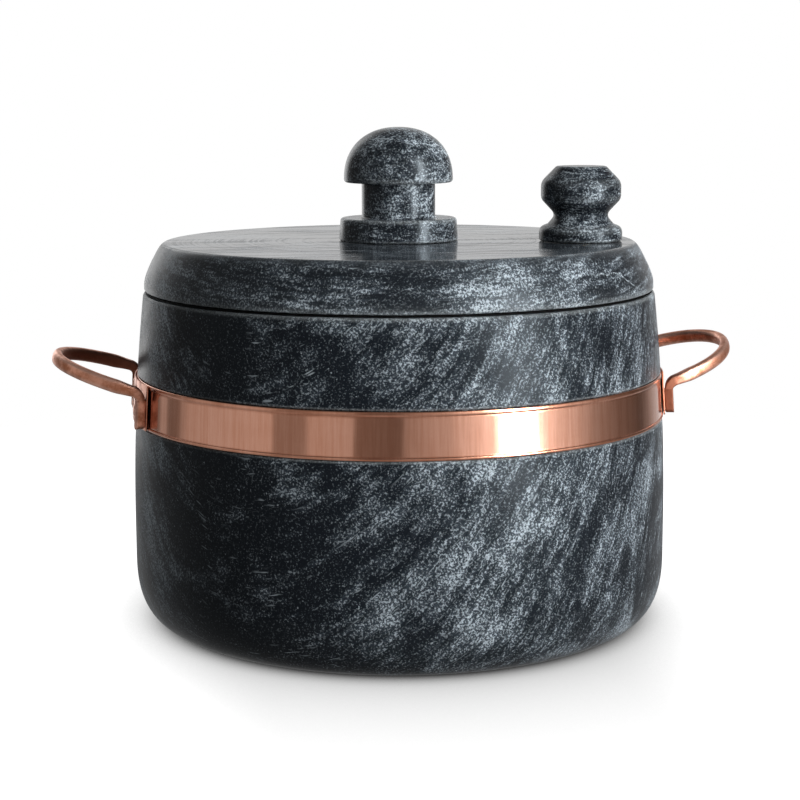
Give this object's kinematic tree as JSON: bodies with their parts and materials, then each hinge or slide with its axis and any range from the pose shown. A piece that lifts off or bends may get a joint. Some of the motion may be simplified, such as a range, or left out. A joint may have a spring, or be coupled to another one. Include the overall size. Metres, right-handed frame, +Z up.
{
  "type": "pressure cooker",
  "caption": "Round stone pressure cooker with a domed-edge lid, turned knob, lift-off regulator weight on a steam vent, copper strap and forged loop handles.",
  "frame": {"origin": "on the pot's axis, on the surface that the pot stands on", "axes": "+Z up along the pot's axis, +X out through the right handle, -Y towards the front"},
  "size_m": [0.322, 0.25, 0.2279],
  "materials": {
    "soapstone": "satin",
    "copper": "satin",
    "brass": "satin",
    "steel": "satin",
    "silicone": "matte"
  },
  "bodies": {
    "pot": {"pot_body": "soapstone", "strap_front": "copper", "strap_rear": "copper", "saddle_right": "copper", "saddle_left": "copper", "rivet_right_front_lower": "copper", "rivet_right_front_upper": "copper", "rivet_right_rear_lower": "copper", "rivet_right_rear_upper": "copper", "rivet_left_front_lower": "copper", "rivet_left_front_upper": "copper", "rivet_left_rear_lower": "copper", "rivet_left_rear_upper": "copper", "handle_right": "copper", "handle_left": "copper"},
    "seal": {"lid_gasket": "silicone"},
    "lid": {"lid": "soapstone", "lid_knob": "soapstone", "knob_insert": "brass", "knob_bolt": "steel", "knob_washer": "steel", "bolt_seal": "silicone", "vent_tube": "brass", "vent_nut": "brass"},
    "regulator": {"regulator_weight": "soapstone", "regulator_needle": "brass"}
  },
  "joints": [
    {"name": "lid_lift", "type": "slide", "parent": "pot", "child": "seal", "axis": [0, 0, 1], "range_m": [0, 0.16]},
    {"name": "lid_turn", "type": "hinge", "parent": "seal", "child": "lid", "pos_m": [0, 0, 0.1753], "axis": [0, 0, 1], "continuous": true},
    {"name": "weight_lift", "type": "slide", "parent": "lid", "child": "regulator", "axis": [0, 0, 1], "range_m": [0, 0.04]}
  ]
}
